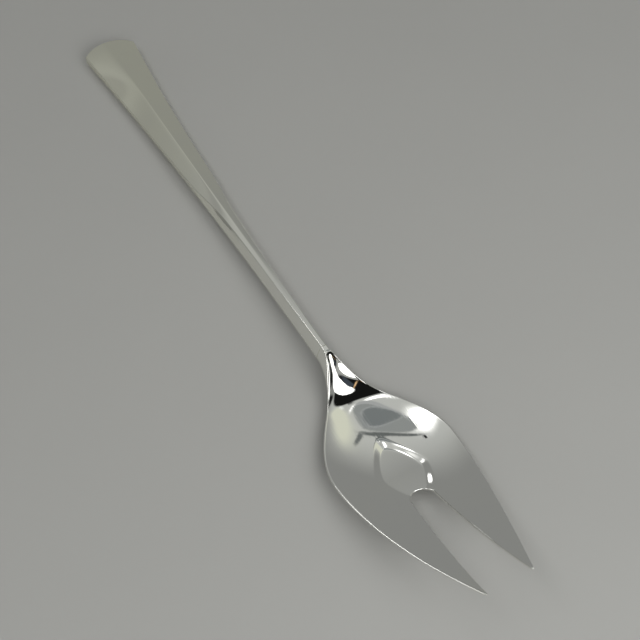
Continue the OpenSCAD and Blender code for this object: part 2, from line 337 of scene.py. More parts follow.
def bowed(m, columns, half, inset):
    """Rows across the handle whose first follows the bow of the end, drawn in all round by inset.

    s is the row's station plus a share, fading along the handle, of the bow by a power of y.
    y is a share of the half-width.
    """
    rows = handle_stations(m)
    share = 1.0 - ease(rows, 0.0, BOW_FADE)
    s = rows + 0.0 * columns
    for _ in range(BOW_PASSES):
        y = columns * (half(m, s) - inset)
        s = rows + share * (m.end_bow * np.abs(y / m.end_half) ** END_POWER + inset)
    return s, y


def points(m, s, y, z):
    """Stacks station, side and height into points of the shared frame."""
    return np.stack(np.broadcast_arrays(s + m.start, y, z), axis=-1)


def laid(m, s, y, height):
    """Points at the height that a face has over each station and side."""
    return points(m, s, y, height(m, s, y))


def border(grid):
    """The open border of a handle grid: up its left column, across the end row and down its right column."""
    return np.concatenate([grid[:0:-1, 0], grid[0], grid[1:, -1]])


def roof_columns():
    """Shares of the half-width from left to right, close together at the ridge and at both edges."""
    half = 0.5 - 0.5 * np.cos(np.pi * shares(ROOF_COLUMNS))
    return np.concatenate([-half[:0:-1], half])[None, :]


def edge_round(m, s):
    """Rounding of the top's edges, softer towards the neck, at most a share of the strip."""
    soft = mix(1.0, NECK_SOFTER, ease(s, NECK_EASES * m.joint, m.joint))
    return np.minimum(m.edge_round * soft, EDGE_SHARE * strip(m, s))


def front_outline(m):
    """Border of the roof before rounding, and the seam below it, as much wider as the girth is."""
    s, y = bowed(m, roof_columns(), strip, 0.0)
    top = border(laid(m, s, y, roof_z))
    seam = border(points(m, s, y * girth(m, s) / strip(m, s), seam_z(m, s)))
    return top, seam


def plan_inward(line):
    """Unit normals in plan of a line of points, to its right: its direction turned by a quarter."""
    way = np.gradient(line[:, :2], axis=0)
    way /= np.linalg.norm(way, axis=1, keepdims=True)
    return np.stack([way[:, 1], -way[:, 0], np.zeros(len(way))], axis=1)


def front_skin(m):
    """Outer face of the upper shell: the roof, a rounded edge and the side wall down to the seam.

    The side facets swell by a parabola across them, as much as they have opened.
    """
    inset = edge_round(m, handle_stations(m))
    s, y = bowed(m, roof_columns(), strip, inset)
    roof_grid = laid(m, s, y, roof_z)
    top, foot = front_outline(m)
    foot = foot + np.array([0.0, 0.0, m.solder_half])
    radius = edge_round(m, top[:, :1] - m.start)
    shoulder = towards(top, foot, radius)
    edge = bend(border(roof_grid), top, shoulder, BEND_STEPS)
    side = straight(shoulder, foot, WALL_STEPS)
    across = shares(WALL_STEPS + 1)[1:, None, None]
    swell = FACET_SWELL * opened(m, top[:, :1] - m.start)
    side = side - plan_inward(foot) * swell * 4.0 * across * (1.0 - across)
    return [roof_grid, np.concatenate([edge, side])]


def back_skin(m):
    """Outer face of the lower shell: superellipses planed flat below, a rounded edge and the end wall."""
    turn = np.linspace(-QUARTER, QUARTER, BACK_COLUMNS + 1)[None, :]
    rows = handle_stations(m)
    power = mix(BACK_POWER_END, BACK_POWER_NECK, rows / m.joint)
    u = np.sign(turn) * np.abs(np.sin(turn)) ** (2.0 / power)
    c = np.abs(np.cos(turn)) ** (2.0 / power)
    c[:, [0, -1]] = 0.0

    def grid(inset):
        """The belly as a grid, with its end drawn in by inset."""
        s, y = bowed(m, u, girth, 0.0)
        s = s + inset * (1.0 - ease(rows, 0.0, BOW_FADE))
        y = u * girth(m, s)
        top = seam_z(m, s) - m.solder_half
        low = back_z(m, s)
        z = mix(top, low - m.back_flat, c)
        return points(m, s, y, np.where(c > 0, low + rising(z - low, BACK_SOFT), top))

    belly = grid(m.edge_round)
    corner = grid(0.0)[0]
    top = corner.copy()
    top[:, 2] = seam_z(m, top[:, 0] - m.start) - m.solder_half
    shoulder = towards(corner, top, m.edge_round)
    edge = bend(belly[0], corner, shoulder, BEND_STEPS)
    return [belly, np.concatenate([edge, straight(shoulder, top, WALL_STEPS)])]


def drawn_in(m, outside, side, far):
    """The inside of a shell: each point moves in by the wall, across and towards the solder's face.

    y is scaled by 1 less wall over girth, the height from the solder by 1 less wall over the full height,
    and the end moves in by the wall. side is 1 above the solder and -1 below it.
    """
    s = outside[:, 0] - m.start
    base = seam_z(m, s) + side * m.solder_half
    inside = outside.copy()
    inside[:, 0] += m.wall * (1.0 - ease(s, 0.0, BOW_FADE))
    inside[:, 1] *= 1.0 - m.wall / girth(m, s)
    inside[:, 2] = base + (outside[:, 2] - base) * (1.0 - m.wall / np.abs(far(m, s) - base))
    return inside


def seam_band(m):
    """Solder between the shells: a narrow strip round the seam line, hollowed a little, ends closed.

    Each corner of its section lies at a depth along the inward normal in plan, and a height from the line.
    """
    line = front_outline(m)[1]
    up = np.array([0.0, 0.0, m.solder_half])
    depths = plan_inward(line)[:, None] * SEAM_DEPTHS[:, None]
    return [capped(line[:, None] + depths + up * SEAM_HEIGHTS[:, None])]


def capped(grid):
    """Closes a tube of rows by a point in the middle of its first and last row."""
    first = np.broadcast_to(grid[0, :-1].mean(axis=0), grid[0].shape)
    last = np.broadcast_to(grid[-1, :-1].mean(axis=0), grid[-1].shape)
    return np.concatenate([first[None], grid, last[None]])


def neck_ring(m):
    """Solder at the neck: the neck's outline shrunk a little about its middle, with a hole for the tang.

    Its section runs from the hole up the near face, over the shallow groove and back down the far face.
    """
    half = head_rows(m)[0]
    outline = np.concatenate([half, (half * MIRRORED)[::-1]])
    middle = np.array([0.0, 0.0, seam_z(m, m.joint)])
    ring = middle + (outline - middle) * RING_SCALES[:, None, None]
    ring[:, :, 0] = (RING_STATIONS * m.neck_solder + m.joint + m.start)[:, None]
    return [ring]


# Head

SHOULDER_POWER, TINE_POWER, SWEEP_POWER, BOWL_POWER = 0.93, 1.6, 1.9, 2.2
FALL_POWER, DISH_POWER, DISH_STARTS, DISH_SHORT = 3.8, 0.55, 0.25, 2 * MM
SHOULDER_START, ROOF_LENGTH, BLEND_SHORT = 1.5 * MM, 7 * MM, 1 * MM
SWEEP_SOFT = 2 * MM
# The lozenge's curve, arc and eased corner, and the shares of its size that rows crowd to and it reaches
LOZENGE_POWER, LOZENGE_ARC, CORNER_EASE = 1.45, 160 * MM, 0.45
LOZENGE_CROWDS, LOZENGE_REACH = 0.6, 0.8
# Most that a rounding takes of the rim, of the tine's breadth and of the metal
OF_RIM, OF_BREADTH, OF_METAL, OF_METAL_BELOW, OF_METAL_SLOT = 0.4, 0.3, 0.45, 0.4, 0.3
LEAST_ROUND, LEAST_SOFT, LEAST_SHARE = 0.01 * MM, 1e-4, 1e-6
SLOT_LEAD = 8 * MM
TANG_TAPER = 0.6
NECK_ROWS, TRUNK_ROWS, TURN_ROWS, TINE_ROWS, TIP_ROWS = 96, 84, 22, 58, 9
INNER_COLUMNS, OUTER_COLUMNS, LOWER_COLUMNS, INNER_SHARE = 46, 24, 30, 0.54


def rim_half(m, s):
    """Half-width of the upper face: a squared sine out to the widest line, a power curve in to the tips."""
    out = passed(s, m.head_s, m.wide) ** SHOULDER_POWER
    back = passed(s, m.wide, m.overall) ** TINE_POWER
    grown = mix(m.strip_half, m.bowl_half, np.sin(QUARTER * out) ** 2)
    return np.where(s <= m.wide, grown, mix(m.bowl_half, m.tip_half, back))


def neck_share(m, s):
    """1 at the joint, easing to 0 where the deep neck has blended into the bowl."""
    return 1.0 - ease(s, m.head_s, m.head_s + m.shoulder - BLEND_SHORT)


def edge_half(m, s):
    """Half-width of the lower face, wider than the upper one at the neck."""
    return rim_half(m, s) + (m.neck_half - m.strip_half) * neck_share(m, s)


def sweep_z(m, s):
    """Middle line of bowl and tines: a shallow arc to the lowest line, a power curve up to the tips."""
    full = rising(m.sweep, SWEEP_SOFT)
    climb = m.tip_rise * (rising(s - m.low, SWEEP_SOFT) / full) ** SWEEP_POWER
    return m.bowl_metal + climb + np.maximum(0.0, m.low - s) ** 2 / (2.0 * m.floor_radius)


def middle_z(m, s):
    """Middle line with the shoulder, where the neck's height falls to the sweep.

    With t the share of the shoulder, it falls by 1 less t to a power, times 1 plus the power times t.
    """
    t = passed(s, m.head_s + SHOULDER_START, m.head_s + m.shoulder)
    return mix(sweep_z(m, s), m.neck_top, (1.0 - t) ** FALL_POWER * (1.0 + FALL_POWER * t))


def metal(m, s):
    """Thickness, which thins from the widest line to the tips."""
    return mix(m.bowl_metal, m.tip_metal, passed(s, m.wide, m.overall))


def plain_z(m, s, u):
    """Upper face without the lozenge: the middle line plus the rim's lift by a power of the share u.

    flat is 1 at the joint and eases to 0 where the neck's roof has turned into the dished shoulder.
    """
    run, shoulder = s - m.head_s, m.shoulder
    flat = 1.0 - ease(run, 0.0, ROOF_LENGTH)
    dish = mix(DISH_POWER, 1.0, ease(run, DISH_STARTS * shoulder, shoulder - DISH_SHORT))
    bowl = m.bowl_depth * (rim_half(m, s) / m.bowl_half) ** dish
    lift = mix(bowl, -roof(m, m.joint) * m.strip_half, flat)
    soft = m.ridge_round / m.strip_half * flat + LEAST_SOFT
    return middle_z(m, s) + lift * crown(u, soft) ** mix(BOWL_POWER, 1.0, flat)


def lozenge_z(m, s, y):
    """The lozenge's tool: a floor tilted to the sweep, and round a bowed diamond a wall that rises.

    It rises by distance, the diamond's measure less 1 over the length of its gradient. Towards the neck the
    floor bends up along a wide arc, and the wall eases off by the squared share of the length in the measure.
    """
    long, wide = m.lozenge / 2 - m.lozenge_wall, m.lozenge_width / 2 - m.lozenge_wall
    p = LOZENGE_POWER
    x = s - m.lozenge_s
    a = np.maximum(np.abs(x) / long, LEAST_SHARE)
    c = np.maximum(np.abs(y) / wide, LEAST_SHARE)
    total = a**p + c**p
    measure = total ** (1 / p)
    steep = total ** (1 / p - 1) * np.sqrt((a ** (p - 1) / long) ** 2 + (c ** (p - 1) / wide) ** 2)
    away = (measure - 1.0) / steep
    slope = (sweep_z(m, m.lozenge_s + MM) - sweep_z(m, m.lozenge_s - MM)) / (2 * MM)
    back = np.minimum(x, 0.0)
    floor = sweep_z(m, m.lozenge_s) - m.lozenge_depth + slope * x + back**2 / (2.0 * LOZENGE_ARC)
    ease_off = 1.0 - CORNER_EASE * (a**p / total) ** 2 * (x < 0)
    return floor + 2 * m.lozenge_depth / m.lozenge_wall * ease_off * rising(away, 2.0 * m.lip_round)


def upper_z(m, s, y):
    """Upper face of the head: the plain bowl less what rises above the lozenge's tool, with a rounded lip."""
    bowl = plain_z(m, s, np.abs(y) / rim_half(m, s))
    struck = bowl - rising(bowl - lozenge_z(m, s, y), m.lip_round)
    along = np.abs(s - m.lozenge_s) < LOZENGE_REACH * m.lozenge
    return np.where(along & (np.abs(y) < LOZENGE_REACH * m.lozenge_width), struck, bowl)


def lower_z(m, s, y):
    """Lower face of the head: the bowl less its metal, mixed at the neck with the handle's round back."""
    u = np.minimum(np.abs(y) / edge_half(m, s), 1.0)
    back = mix(seam_z(m, m.joint), back_z(m, m.joint), boxy(u, BACK_POWER_NECK))
    return mix(plain_z(m, s, u) - metal(m, s), back, neck_share(m, s))


def slot_edge(m, s):
    """Half-width of the slot and its plan normal into the metal: a half circle, then straight sides."""
    r = m.slot_root / 2
    lean = (m.slot_mouth / 2 - r) / (m.slot - r)
    x = s - m.slot_s - r
    round_part = x < 0
    y = np.where(round_part, np.sqrt(np.maximum(r * r - np.minimum(x, 0.0) ** 2, 0.0)), r + lean * x)
    along = np.where(round_part, x / r, -lean / math.hypot(1.0, lean))
    across = np.where(round_part, y / r, 1.0 / math.hypot(1.0, lean))
    return y, along, across


def head_stations(m):
    """Rows along the head, closest at the lozenge, by angle round the slot's end and close at the tips."""
    r = m.slot_root / 2
    crowd = m.lozenge_s - LOZENGE_CROWDS * m.lozenge
    neck = np.linspace(m.head_s, crowd, NECK_ROWS)
    trunk = np.linspace(crowd, m.slot_s, TRUNK_ROWS)[1:]
    turn = m.slot_s + r * (1.0 - np.cos(QUARTER * shares(TURN_ROWS)))[1:]
    tine = np.linspace(m.slot_s + r, m.overall - m.tip_round, TINE_ROWS)[1:]
    tip = m.overall - m.tip_round * (1.0 - np.sin(QUARTER * shares(TIP_ROWS)))[1:]
    return np.concatenate([neck, trunk, turn, tine, tip]), len(neck) + len(trunk) - 1


def head_frame(m):
    """What every row of one half needs: its rim corners, its inner edge by the slot and their roundings."""
    s, root = head_stations(m)
    s = s[:, None]
    rim, edge, deep, thick = rim_half(m, s), edge_half(m, s), neck_share(m, s), metal(m, s)
    half, along, across = slot_edge(m, s)
    open_slot = s >= m.slot_s
    half = np.where(open_slot, half, 0.0)
    room = OF_BREADTH * (rim - half)
    bite = np.minimum(np.minimum(m.slot_round, room), OF_METAL_SLOT * thick)
    lead = ease(s, m.slot_s - SLOT_LEAD, m.slot_s) * m.slot_round
    inner_s = np.where(open_slot, s + bite * along, s - lead)
    inner_y = np.where(open_slot, half + bite * across, 0.0)
    top_round = np.minimum(np.minimum(m.rim_round, OF_RIM * rim), np.minimum(room, OF_METAL * thick))
    low_round = np.minimum(room, OF_METAL_BELOW * thick) * (1.0 - deep) + LEAST_ROUND
    low_round = np.minimum(low_round, m.rim_round)
    return SimpleNamespace(
        root=root, s=s, rim=rim, edge=edge, half=half, bite=bite, inner_s=inner_s, inner_y=inner_y,
        top_round=top_round, low_round=low_round,
    )


def face(m, f, width, inset, columns, height):
    """One face of a half: each row runs straight in plan from the inner edge to just short of the rim."""
    return laid(m, mix(f.inner_s, f.s, columns), mix(f.inner_y, width - inset, columns), height)


def rounded_wall(first, near, far, last, near_round, far_round):
    """Wall from the corner near to the corner far, both rounded, that joins the lines first and last."""
    near_end, far_end = towards(near, far, near_round), towards(far, near, far_round)
    return np.concatenate([
        bend(first, near, near_end, BEND_STEPS),
        straight(near_end, far_end, RIM_STEPS),
        bend(far_end, far, last, BEND_STEPS)[1:],
    ]).swapaxes(0, 1)


def tapered_tips(m, f, grid):
    """Rounds the tips: the last rows shrink about the tine's middle.

    They shrink by the root of 1 less the squared share of the tip.
    """
    share = passed(f.s, m.overall - m.tip_round, m.overall)
    scale = np.sqrt(1.0 - share**2)[:, :, None]
    y = 0.5 * (f.rim + f.half)
    z = 0.5 * (upper_z(m, f.s, y) + lower_z(m, f.s, y))
    middle = points(m, f.s, y, z)
    return np.where(scale < 1.0, middle + (grid - middle) * scale, grid)


def head_rows(m):
    """Right half of the head as one grid: over the upper face, round the rim, back along the lower face."""
    f = head_frame(m)
    inner = np.linspace(0.0, INNER_SHARE, INNER_COLUMNS)
    outer = mix(INNER_SHARE, 1.0, np.sin(QUARTER * shares(OUTER_COLUMNS + 1))[1:])
    under = np.sin(QUARTER * shares(LOWER_COLUMNS))
    upper = face(m, f, f.rim, f.top_round, np.concatenate([inner, outer])[None, :], upper_z)
    lower = face(m, f, f.edge, f.low_round, under[None, :], lower_z)
    top, low = laid(m, f.s, f.rim, upper_z)[:, 0], laid(m, f.s, f.edge, lower_z)[:, 0]
    rim = rounded_wall(upper[:, -1], top, low, lower[:, -1], f.top_round, f.low_round)
    return tapered_tips(m, f, np.concatenate([upper, rim[:, 1:], lower[:, -2::-1]], axis=1))


def slot_wall(m):
    """Right wall of the slot, from its root to the tip: a rounded edge, the wall and a rounded edge."""
    f = head_frame(m)
    upper, lower = (laid(m, f.inner_s, f.inner_y, height)[:, 0] for height in (upper_z, lower_z))
    top, low = (laid(m, f.s, f.half, height)[:, 0] for height in (upper_z, lower_z))
    wall = rounded_wall(lower, low, top, upper, f.bite, f.bite)
    return tapered_tips(m, f, wall)[f.root:]


def tang_rows(m, first):
    """Half of the tang: a tapered bar on the seam's line, closed behind, opened out to the neck's first row.

    Each column takes the point of the bar's half-outline at its own share of the neck's outline.
    """
    run = np.concatenate([[0.0], np.cumsum(np.linalg.norm(np.diff(first, axis=0), axis=1))])
    w, h = m.tang_width / 2, m.tang_depth / 2
    corner = w / (2 * w + 2 * h)
    stops = [0.0, corner, 1.0 - corner, 1.0]
    y = np.interp(run / run[-1], stops, [0.0, w, w, 0.0])
    z = np.interp(run / run[-1], stops, [h, h, -h, -h])
    back = m.joint - m.tang
    stations = np.array([back, back, m.joint, m.head_s])[:, None]
    taper = np.array([0.0, TANG_TAPER, 1.0, 1.0])[:, None]
    return points(m, stations, y * taper, seam_z(m, stations) + z * taper)


def head_skin(m):
    """Both halves of the head with tang and slot walls; the left half is the right one with y turned over."""
    rows = head_rows(m)
    half = [np.concatenate([tang_rows(m, rows[0]), rows]), slot_wall(m)]
    return half + [patch * MIRRORED for patch in half]


# Meshes

SHARP_ANGLE = math.radians(50.0)


def weld(patches):
    """Joins grids into one mesh of the four-sided cells between neighbours.

    Points that coincide become one. A cell that loses a side becomes a triangle, an empty one is left out.
    """
    cells, base = [], 0
    for patch in patches:
        index = base + np.arange(patch.shape[0] * patch.shape[1]).reshape(patch.shape[:2])
        corners = [index[:-1, :-1], index[:-1, 1:], index[1:, 1:], index[1:, :-1]]
        cells.append(np.stack(corners, axis=-1).reshape(-1, 4))
        base += index.size
    everything = np.concatenate([patch.reshape(-1, 3) for patch in patches])
    steps = np.round(everything / WELD).astype(np.int64)
    _, first, merged = np.unique(steps, axis=0, return_index=True, return_inverse=True)
    cells = merged.reshape(-1)[np.concatenate(cells)]
    twice = cells == np.roll(cells, -1, axis=1)
    flat = (cells[:, 0] == cells[:, 2]) | (cells[:, 1] == cells[:, 3])
    quads = cells[(twice.sum(axis=1) == 0) & ~flat]
    one = (twice.sum(axis=1) == 1) & ~flat
    triangles = cells[one][~twice[one]].reshape(-1, 3)
    return everything[first], quads, triangles


def shell(outside, inside, quads, triangles):
    """Gives a skin its wall: the inside's faces are turned over, and cells join the two open borders."""
    count = len(outside)
    pairs = [np.stack([f, np.roll(f, -1, axis=1)], axis=-1).reshape(-1, 2) for f in (quads, triangles)]
    sides = np.concatenate(pairs)
    ordered = np.sort(sides, axis=1)
    _, inverse, times = np.unique(ordered, axis=0, return_inverse=True, return_counts=True)
    a, b = sides[times[inverse.reshape(-1)] == 1].T
    rim = np.stack([b, a, a + count, b + count], axis=1)
    quads = np.concatenate([quads, quads[:, ::-1] + count, rim])
    triangles = np.concatenate([triangles, triangles[:, ::-1] + count])
    return np.concatenate([outside, inside]), quads, triangles


def put(name, data):
    """Adds an object with a mesh, a lamp or a camera to the scene."""
    thing = bpy.data.objects.new(name, data)
    bpy.context.scene.collection.objects.link(thing)
    return thing


def make_piece(name, vertices, quads, triangles, material, slot, node):
    """Puts arrays into a mesh, turns its faces outwards, shades it smooth and hangs it on the frame."""
    if not len(quads):
        raise RuntimeError(f"{name} came out with no faces")
    mesh = bpy.data.meshes.new(name)
    mesh.from_pydata(vertices.tolist(), [], quads.tolist() + triangles.tolist())
    work = bmesh.new()
    work.from_mesh(mesh)
    bmesh.ops.recalc_face_normals(work, faces=work.faces)
    loose = sum(1 for e in work.edges if len(e.link_faces) != 2)
    work.to_mesh(mesh)
    work.free()
    if loose:
        raise RuntimeError(f"{name} has {loose} open edges")
    mesh.polygons.foreach_set("use_smooth", np.ones(len(mesh.polygons), bool))
    mesh.set_sharp_from_angle(angle=SHARP_ANGLE)
    mesh.update()
    piece = put(name, mesh)
    mesh.materials.append(material)
    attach(piece, "root")
    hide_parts(node)
    return piece


# Finishes

SMUDGE_LEVELS, SCRATCH_LEVELS = (0.38, 0.68), (0.60, 0.74)
SCRATCH_TURNS, SCRATCH_STRETCH = (14.0, -38.0, 71.0), (90.0, 2600.0, 900.0)
SCRATCH_ROUGH, SCRATCH_DEPTH = 0.6, 0.01 * MM
# Where along the frame's X the metal begins to warm, and where it is warmest
WARMS_FROM, WARMEST_AT = 0.04, -0.1
MOTTLE = 0.03


def feed(node, inputs):
    """Fills a node's inputs by name or number: another node's output is linked, a value is written."""
    for key, value in inputs.items():
        if isinstance(value, bpy.types.NodeSocket):
            node.id_data.links.new(value, node.inputs[key])
        else:
            node.inputs[key].default_value = value


def new_node(tree, kind, inputs=None, **settings):
    """Adds a node, sets its plain attributes and fills its inputs."""
    node = tree.nodes.new(kind)
    for key, value in settings.items():
        setattr(node, key, value)
    feed(node, inputs or {})
    return node


def arithmetic(tree, operation, *values, **settings):
    """Output of a math node on numbers or other nodes' outputs."""
    inputs = dict(enumerate(values))
    return new_node(tree, "ShaderNodeMath", inputs, operation=operation, **settings).outputs["Value"]


def smooth_range(tree, value, low, high, to_low=0.0, to_high=1.0):
    """Output that goes smoothly from to_low to to_high as the value goes from low to high."""
    inputs = {"Value": value, "From Min": low, "From Max": high, "To Min": to_low, "To Max": to_high}
    return new_node(tree, "ShaderNodeMapRange", inputs, interpolation_type="SMOOTHSTEP").outputs["Result"]


def noise(tree, place, scale, detail, roughness=0.5):
    """Output of a noise texture at a place."""
    inputs = {"Vector": place, "Scale": scale, "Detail": detail, "Roughness": roughness}
    return new_node(tree, "ShaderNodeTexNoise", inputs).outputs["Fac"]


def blended(tree, share, first, second):
    """Output of a colour between two, by a share."""
    inputs = {"Factor": share, "A": (*first, 1.0), "B": (*second, 1.0)}
    return new_node(tree, "ShaderNodeMix", inputs, data_type="RGBA").outputs["Result"]


def relief(tree, height, strength, depth, sunk=False):
    """Normal of a surface that a height raises, or sinks."""
    inputs = {"Height": height, "Strength": strength, "Distance": depth}
    return new_node(tree, "ShaderNodeBump", inputs, invert=sunk).outputs["Normal"]


def new_group(name, vectors, numbers, results):
    """Empty shader node group with named sockets: its tree, its inputs and its end node."""
    tree = bpy.data.node_groups.new(name, "ShaderNodeTree")
    sockets = [(name, "INPUT", "NodeSocketVector") for name in vectors]
    sockets += [(name, "INPUT", "NodeSocketFloat") for name in numbers]
    sockets += [(name, "OUTPUT", "NodeSocketFloat") for name in results]
    for name, way, kind in sockets:
        tree.interface.new_socket(name, in_out=way, socket_type=kind)
    return tree, new_node(tree, "NodeGroupInput").outputs, new_node(tree, "NodeGroupOutput")


def new_material(name):
    """Plain material: itself, its tree, its shader and the place on the object."""
    material = bpy.data.materials.new(name)
    material.use_nodes = True
    tree = material.node_tree
    place = new_node(tree, "ShaderNodeTexCoord").outputs["Object"]
    return material, tree, tree.nodes["Principled BSDF"], place


def polish_marks():
    """Shader node group: smudges and fine crossing scratches left by polishing, as masks from 0 to 1."""
    found = bpy.data.node_groups.get("polish_marks")
    if found:
        return found
    tree, entry, leave = new_group("polish_marks", ["Vector"], ["Smudge Scale"], ["Smudge", "Scratches"])
    clouds = noise(tree, entry["Vector"], entry["Smudge Scale"], detail=4.0, roughness=0.55)
    scratches = 0.0
    for turn in SCRATCH_TURNS:
        angles = (0.0, 0.0, math.radians(turn))
        inputs = {"Vector": entry["Vector"], "Rotation": angles, "Scale": SCRATCH_STRETCH}
        place = new_node(tree, "ShaderNodeMapping", inputs).outputs["Vector"]
        hair = smooth_range(tree, noise(tree, place, scale=1.0, detail=2.0), *SCRATCH_LEVELS)
        scratches = arithmetic(tree, "MAXIMUM", scratches, hair)
    feed(leave, {"Smudge": smooth_range(tree, clouds, *SMUDGE_LEVELS), "Scratches": scratches})
    return tree


def metal_finish(name, bright, dull, rough, rough_gain, smudge_scale, tint, dent, end_share):
    """A polished metal: smudges and scratches vary colour and roughness, and scratches are a faint relief.

    The dull colour shows by tint where the metal is smudged, and by end_share in a share that grows along X
    towards the handle's end.
    """
    found = bpy.data.materials.get(name)
    if found:
        return found
    material, tree, shader, place = new_material(name)
    inputs = {"Vector": place, "Smudge Scale": smudge_scale}
    marks = new_node(tree, "ShaderNodeGroup", inputs, node_tree=polish_marks()).outputs
    along = new_node(tree, "ShaderNodeSeparateXYZ", {"Vector": place}).outputs["X"]
    # Share of the second colour that grows along X towards the handle's end, where the silver turns warmer
    # and brighter
    toward_end = smooth_range(tree, along, WARMS_FROM, WARMEST_AT, to_high=end_share)
    share = arithmetic(tree, "MULTIPLY_ADD", marks["Smudge"], tint, toward_end, use_clamp=True)
    worn = arithmetic(tree, "MULTIPLY_ADD", marks["Scratches"], SCRATCH_ROUGH, marks["Smudge"])
    feed(shader, {
        "Metallic": 1.0,
        "Base Color": blended(tree, share, bright, dull),
        "Roughness": arithmetic(tree, "MULTIPLY_ADD", worn, rough_gain, rough),
        "Normal": relief(tree, marks["Scratches"], dent, SCRATCH_DEPTH, sunk=True),
    })
    return material


def silver_finish(finishes):
    """Hand-polished silver, shared by the head and both shells."""
    return metal_finish(
        "polished_silver", finishes.silver, finishes.warm_silver,
        rough=0.02, rough_gain=0.025, smudge_scale=55.0, tint=0.12, dent=0.10, end_share=0.85,
    )


def solder_finish(finishes):
    """Hard solder, a little duller than the silver and flecked."""
    return metal_finish(
        "hard_solder", finishes.solder, finishes.solder_dark,
        rough=0.08, rough_gain=0.09, smudge_scale=420.0, tint=0.8, dent=0.2, end_share=0.0,
    )


def cement_finish(finishes):
    """Gritty cement: fine noise mixes its colours and raises its surface."""
    material, tree, shader, place = new_material("handle_cement")
    grit = noise(tree, place, scale=900.0, detail=6.0)
    feed(shader, {
        "Roughness": 0.9,
        "Base Color": blended(tree, grit, finishes.cement, finishes.cement_grit),
        "Normal": relief(tree, grit, strength=0.6, depth=0.2 * MM),
    })
    return material


# Stage

def floor_finish(stage):
    """Pale matt floor with a faint broad mottle."""
    material, tree, shader, place = new_material("pale_floor")
    mottle = noise(tree, place, scale=14.0, detail=5.0)
    base = np.array(stage.floor)
    dark, light = base * (1.0 - MOTTLE), np.minimum(base * (1.0 + MOTTLE), 1.0)
    feed(shader, {"Roughness": 0.85, "Base Color": blended(tree, mottle, dark, light)})
    return material


CARD_POWER, LEAST_ROOT = 3.0, 1e-5


def card_group():
    """Shader node group: mask of a soft-edged card in the sky, a superellipse of the third power.

    Right and Up come divided by the card's half sizes. The mask fades in as the direction's share along
    Middle, over the cube root of its cubed shares along Right and Up, goes from Fade Start to Fade End.
    """
    vectors, fades = ("Direction", "Middle", "Right", "Up"), ("Fade Start", "Fade End")
    tree, entry, leave = new_group("studio_card", vectors, fades, ["Mask"])

    def along(axis):
        """Share of the direction along an axis."""
        inputs = {0: entry["Direction"], 1: entry[axis]}
        return new_node(tree, "ShaderNodeVectorMath", inputs, operation="DOT_PRODUCT").outputs["Value"]

    sides = [arithmetic(tree, "ABSOLUTE", along(axis)) for axis in ("Right", "Up")]
    cubes = [arithmetic(tree, "POWER", side, CARD_POWER) for side in sides]
    root = arithmetic(tree, "POWER", arithmetic(tree, "ADD", *cubes), 1.0 / CARD_POWER)
    share = arithmetic(tree, "DIVIDE", along("Middle"), arithmetic(tree, "MAXIMUM", root, LEAST_ROOT))
    feed(leave, {"Mask": smooth_range(tree, share, entry["Fade Start"], entry["Fade End"])})
    return tree


def sky(azimuth, elevation):
    """Unit direction from its azimuth round from +X and its elevation, in degrees."""
    a, e = math.radians(azimuth), math.radians(elevation)
    return Vector((math.cos(e) * math.cos(a), math.cos(e) * math.sin(a), math.sin(e)))


# Each card: name, azimuth, elevation and roll in degrees, half-width and half-height as tangents, softness,
# and its colour, where a plain number is a white panel's strength
STUDIO_CARDS = (
    ("left fill", 280, 36, 0, 0.8, 0.35, 0.5, 0.4),
    ("high fill", 262, 62, 0, 0.4, 0.14, 0.4, 3.5),
    ("pale wall", 112, 58.5, 0, 0.08, 0.05, 0.5, (0.85, 0.87, 0.87)),
    ("cream wall", 118, 52.5, 0, 0.22, 0.12, 0.4, (0.67, 0.68, 0.585)),
    ("left wall", 193, 44.5, 0, 0.13, 0.06, 0.75, (0.28, 0.283, 0.277)),
    ("overhead panel", 187, 62.3, 35, 0.16, 0.08, 0.55, 4.2),
    ("panel foot", 208, 49.5, 0, 0.06, 0.04, 0.5, 1.3),
    ("panel edge", 181, 76, 9, 0.155, 0.028, 0.4, 2.5),
    ("pale streak", 133.5, 62.5, 0, 0.02, 0.075, 0.45, 1.2),
    ("pale ceiling", 157, 65, 0, 0.16, 0.12, 0.12, (0.39, 0.4, 0.405)),
    ("grey ceiling", 157.5, 62.2, 3, 0.175, 0.1, 0.08, (0.28, 0.295, 0.295)),
    ("disc edge", 158, 63.5, 33, 0.152, 0.049, 0.05, (0.335, 0.35, 0.355)),
    ("grey disc", 158, 63.5, 33, 0.138, 0.041, 0.06, (0.188, 0.204, 0.209)),
    ("ceiling line", 157, 55.6, 0, 0.19, 0.013, 0.35, (0.13, 0.14, 0.14)),
    ("line end", 173.5, 53.2, 0, 0.014, 0.016, 0.4, (0.01, 0.01, 0.01)),
    ("line foot", 139.5, 52, 62, 0.055, 0.016, 0.35, (0.15, 0.16, 0.16)),
    ("flag fringe", 118, 68, 0, 0.07, 0.045, 0.5, (0.13, 0.13, 0.13)),
    ("dark flag", 26, 73, 64, 0.49, 0.62, 0.06, (0.008, 0.008, 0.008)),
    ("low flag", 75, 36, 0, 0.2, 0.17, 0.2, (0.012, 0.012, 0.012)),
    ("lowest flag", 56, 22, 0, 0.12, 0.08, 0.2, (0.012, 0.012, 0.012)),
    ("side panel", 42.5, 52, 0, 0.18, 0.45, 0.06, 2.2),
    ("blue screen", 12, 58, 0, 0.12, 0.18, 0.25, (0.05, 0.06, 0.075)),
    ("warm strip", -4, 64, 53, 0.25, 0.02, 0.5, (0.75, 0.48, 0.26)),
    ("low strip", -6, 40.5, 0, 0.26, 0.085, 0.15, 2.5),
    ("dark side", 225, 13, 0, 0.3, 0.42, 0.3, (0.185, 0.188, 0.18)),
    ("left strip", 215, 45, 0, 0.08, 0.07, 0.4, 4),
    ("tine line", 247, 10, 0, 0.11, 0.17, 0.35, 4.5),
    ("lozenge glint", 190.8, 27, 0, 0.042, 0.048, 0.35, 2.5),
)
